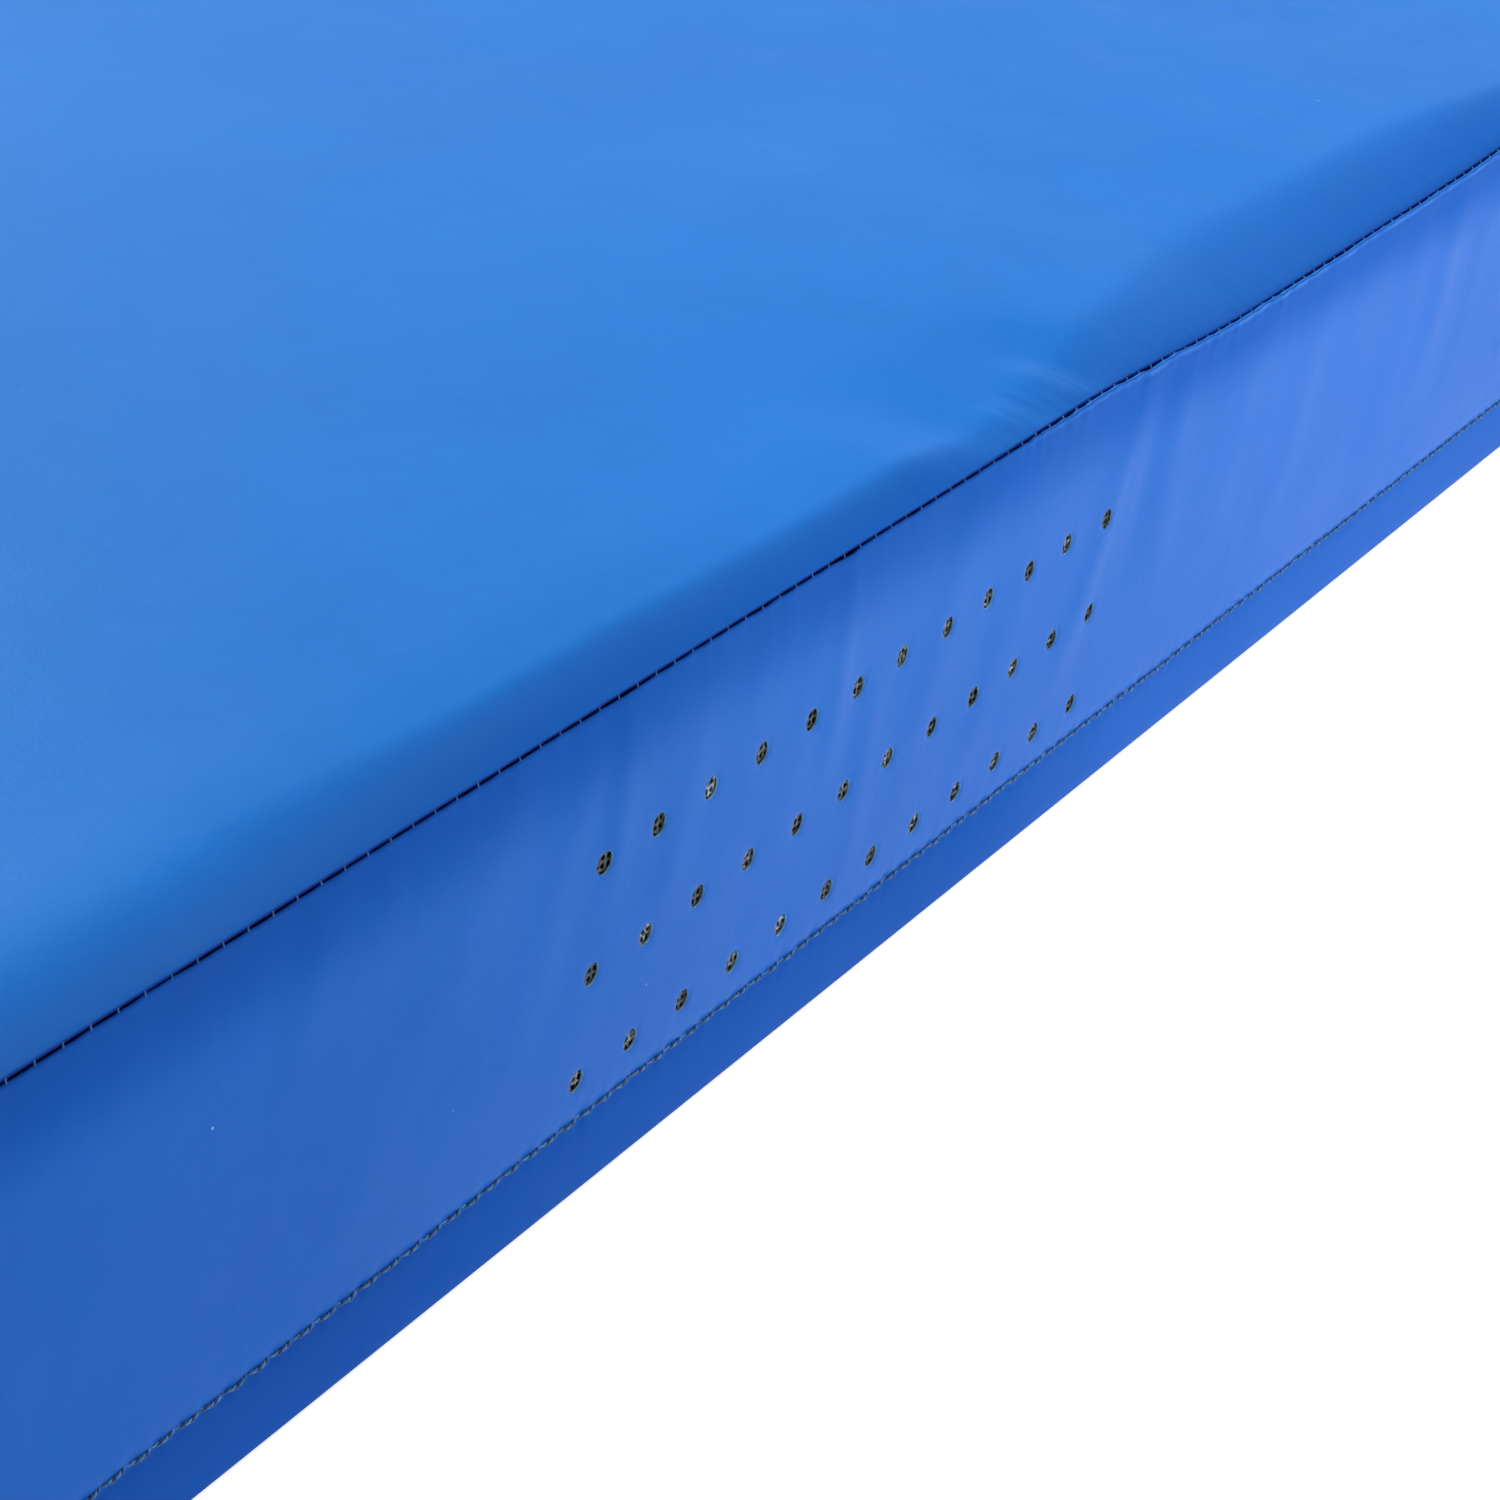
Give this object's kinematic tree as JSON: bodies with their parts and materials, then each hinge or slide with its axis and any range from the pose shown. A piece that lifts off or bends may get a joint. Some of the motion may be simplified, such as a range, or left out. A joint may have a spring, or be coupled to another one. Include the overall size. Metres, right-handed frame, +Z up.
{
  "type": "vented foam landing mat",
  "caption": "Long flat foam landing mat in a sewn vinyl cover, with punched air vents in its long sides, webbing carry handles and a zip across one end.",
  "frame": {"origin": "centre of the underside, on the floor", "axes": "+X along the mat's length, towards the end with the zip; -Y towards the front long side; +Z up out of the landing surface"},
  "size_m": [2.007, 1.067, 0.1],
  "materials": {
    "cover_vinyl": "smooth coated polyester, semi-matt royal blue",
    "base_vinyl": "dark non-slip coated fabric with fine raised dots",
    "netting": "light grey knitted netting",
    "soft_foam": "dark open-cell foam",
    "firm_foam": "charcoal closed-cell foam",
    "thread": "twisted teal-blue polyester thread",
    "webbing": "black woven polyester webbing",
    "zip_tape": "black woven zip tape",
    "zip_teeth": "black nylon coil",
    "zip_metal": "dark plated die-cast metal"
  },
  "bodies": {
    "mat": {"top_panel": "cover_vinyl", "front_panel": "cover_vinyl", "rear_panel": "cover_vinyl", "left_end_panel": "cover_vinyl", "right_end_lower_panel": "cover_vinyl", "right_end_upper_panel": "cover_vinyl", "zip_front_patch": "cover_vinyl", "zip_rear_patch": "cover_vinyl", "base_panel": "base_vinyl", "front_vent_netting": "netting", "rear_vent_netting": "netting", "soft_foam_layer": "soft_foam", "firm_foam_layer": "firm_foam", "top_seam_thread": "thread", "hem_thread": "thread", "front_left_corner_thread": "thread", "front_right_corner_thread": "thread", "rear_left_corner_thread": "thread", "rear_right_corner_thread": "thread", "zip_lower_stitch": "thread", "zip_upper_stitch": "thread", "zip_lower_tape": "zip_tape", "zip_upper_tape": "zip_tape", "zip_lower_teeth": "zip_teeth", "zip_upper_teeth": "zip_teeth", "zip_front_stop": "zip_metal", "zip_rear_stop": "zip_metal", "front_left_handle_left_tab": "webbing", "front_left_handle_right_tab": "webbing", "front_left_handle_left_stitch": "thread", "front_left_handle_right_stitch": "thread", "front_right_handle_left_tab": "webbing", "front_right_handle_right_tab": "webbing", "front_right_handle_left_stitch": "thread", "front_right_handle_right_stitch": "thread", "rear_left_handle_left_tab": "webbing", "rear_left_handle_right_tab": "webbing", "rear_left_handle_left_stitch": "thread", "rear_left_handle_right_stitch": "thread", "rear_right_handle_left_tab": "webbing", "rear_right_handle_right_tab": "webbing", "rear_right_handle_left_stitch": "thread", "rear_right_handle_right_stitch": "thread"},
    "front_left_grip": {"front_left_handle_grip": "webbing"},
    "front_right_grip": {"front_right_handle_grip": "webbing"},
    "rear_left_grip": {"rear_left_handle_grip": "webbing"},
    "rear_right_grip": {"rear_right_handle_grip": "webbing"},
    "slider": {"zip_slider": "zip_metal"},
    "pull": {"zip_pull": "zip_metal"}
  },
  "joints": [
    {"name": "front_left_handle_swing", "type": "hinge", "parent": "mat", "child": "front_left_grip", "pos_m": [-0.62, -0.5011, 0.06], "axis": [-1, 0, 0], "range_deg": [0, 100]},
    {"name": "front_right_handle_swing", "type": "hinge", "parent": "mat", "child": "front_right_grip", "pos_m": [0.62, -0.5011, 0.06], "axis": [-1, 0, 0], "range_deg": [0, 100]},
    {"name": "rear_left_handle_swing", "type": "hinge", "parent": "mat", "child": "rear_left_grip", "pos_m": [-0.62, 0.5011, 0.06], "axis": [1, 0, 0], "range_deg": [0, 100]},
    {"name": "rear_right_handle_swing", "type": "hinge", "parent": "mat", "child": "rear_right_grip", "pos_m": [0.62, 0.5011, 0.06], "axis": [1, 0, 0], "range_deg": [0, 100]},
    {"name": "zip_run", "type": "slide", "parent": "mat", "child": "slider", "axis": [0, 1, 0], "range_m": [0, 0.88]},
    {"name": "pull_swing", "type": "hinge", "parent": "slider", "child": "pull", "pos_m": [1.0032, -0.44, 0.05], "axis": [0, 0, -1], "range_deg": [0, 180]}
  ]
}
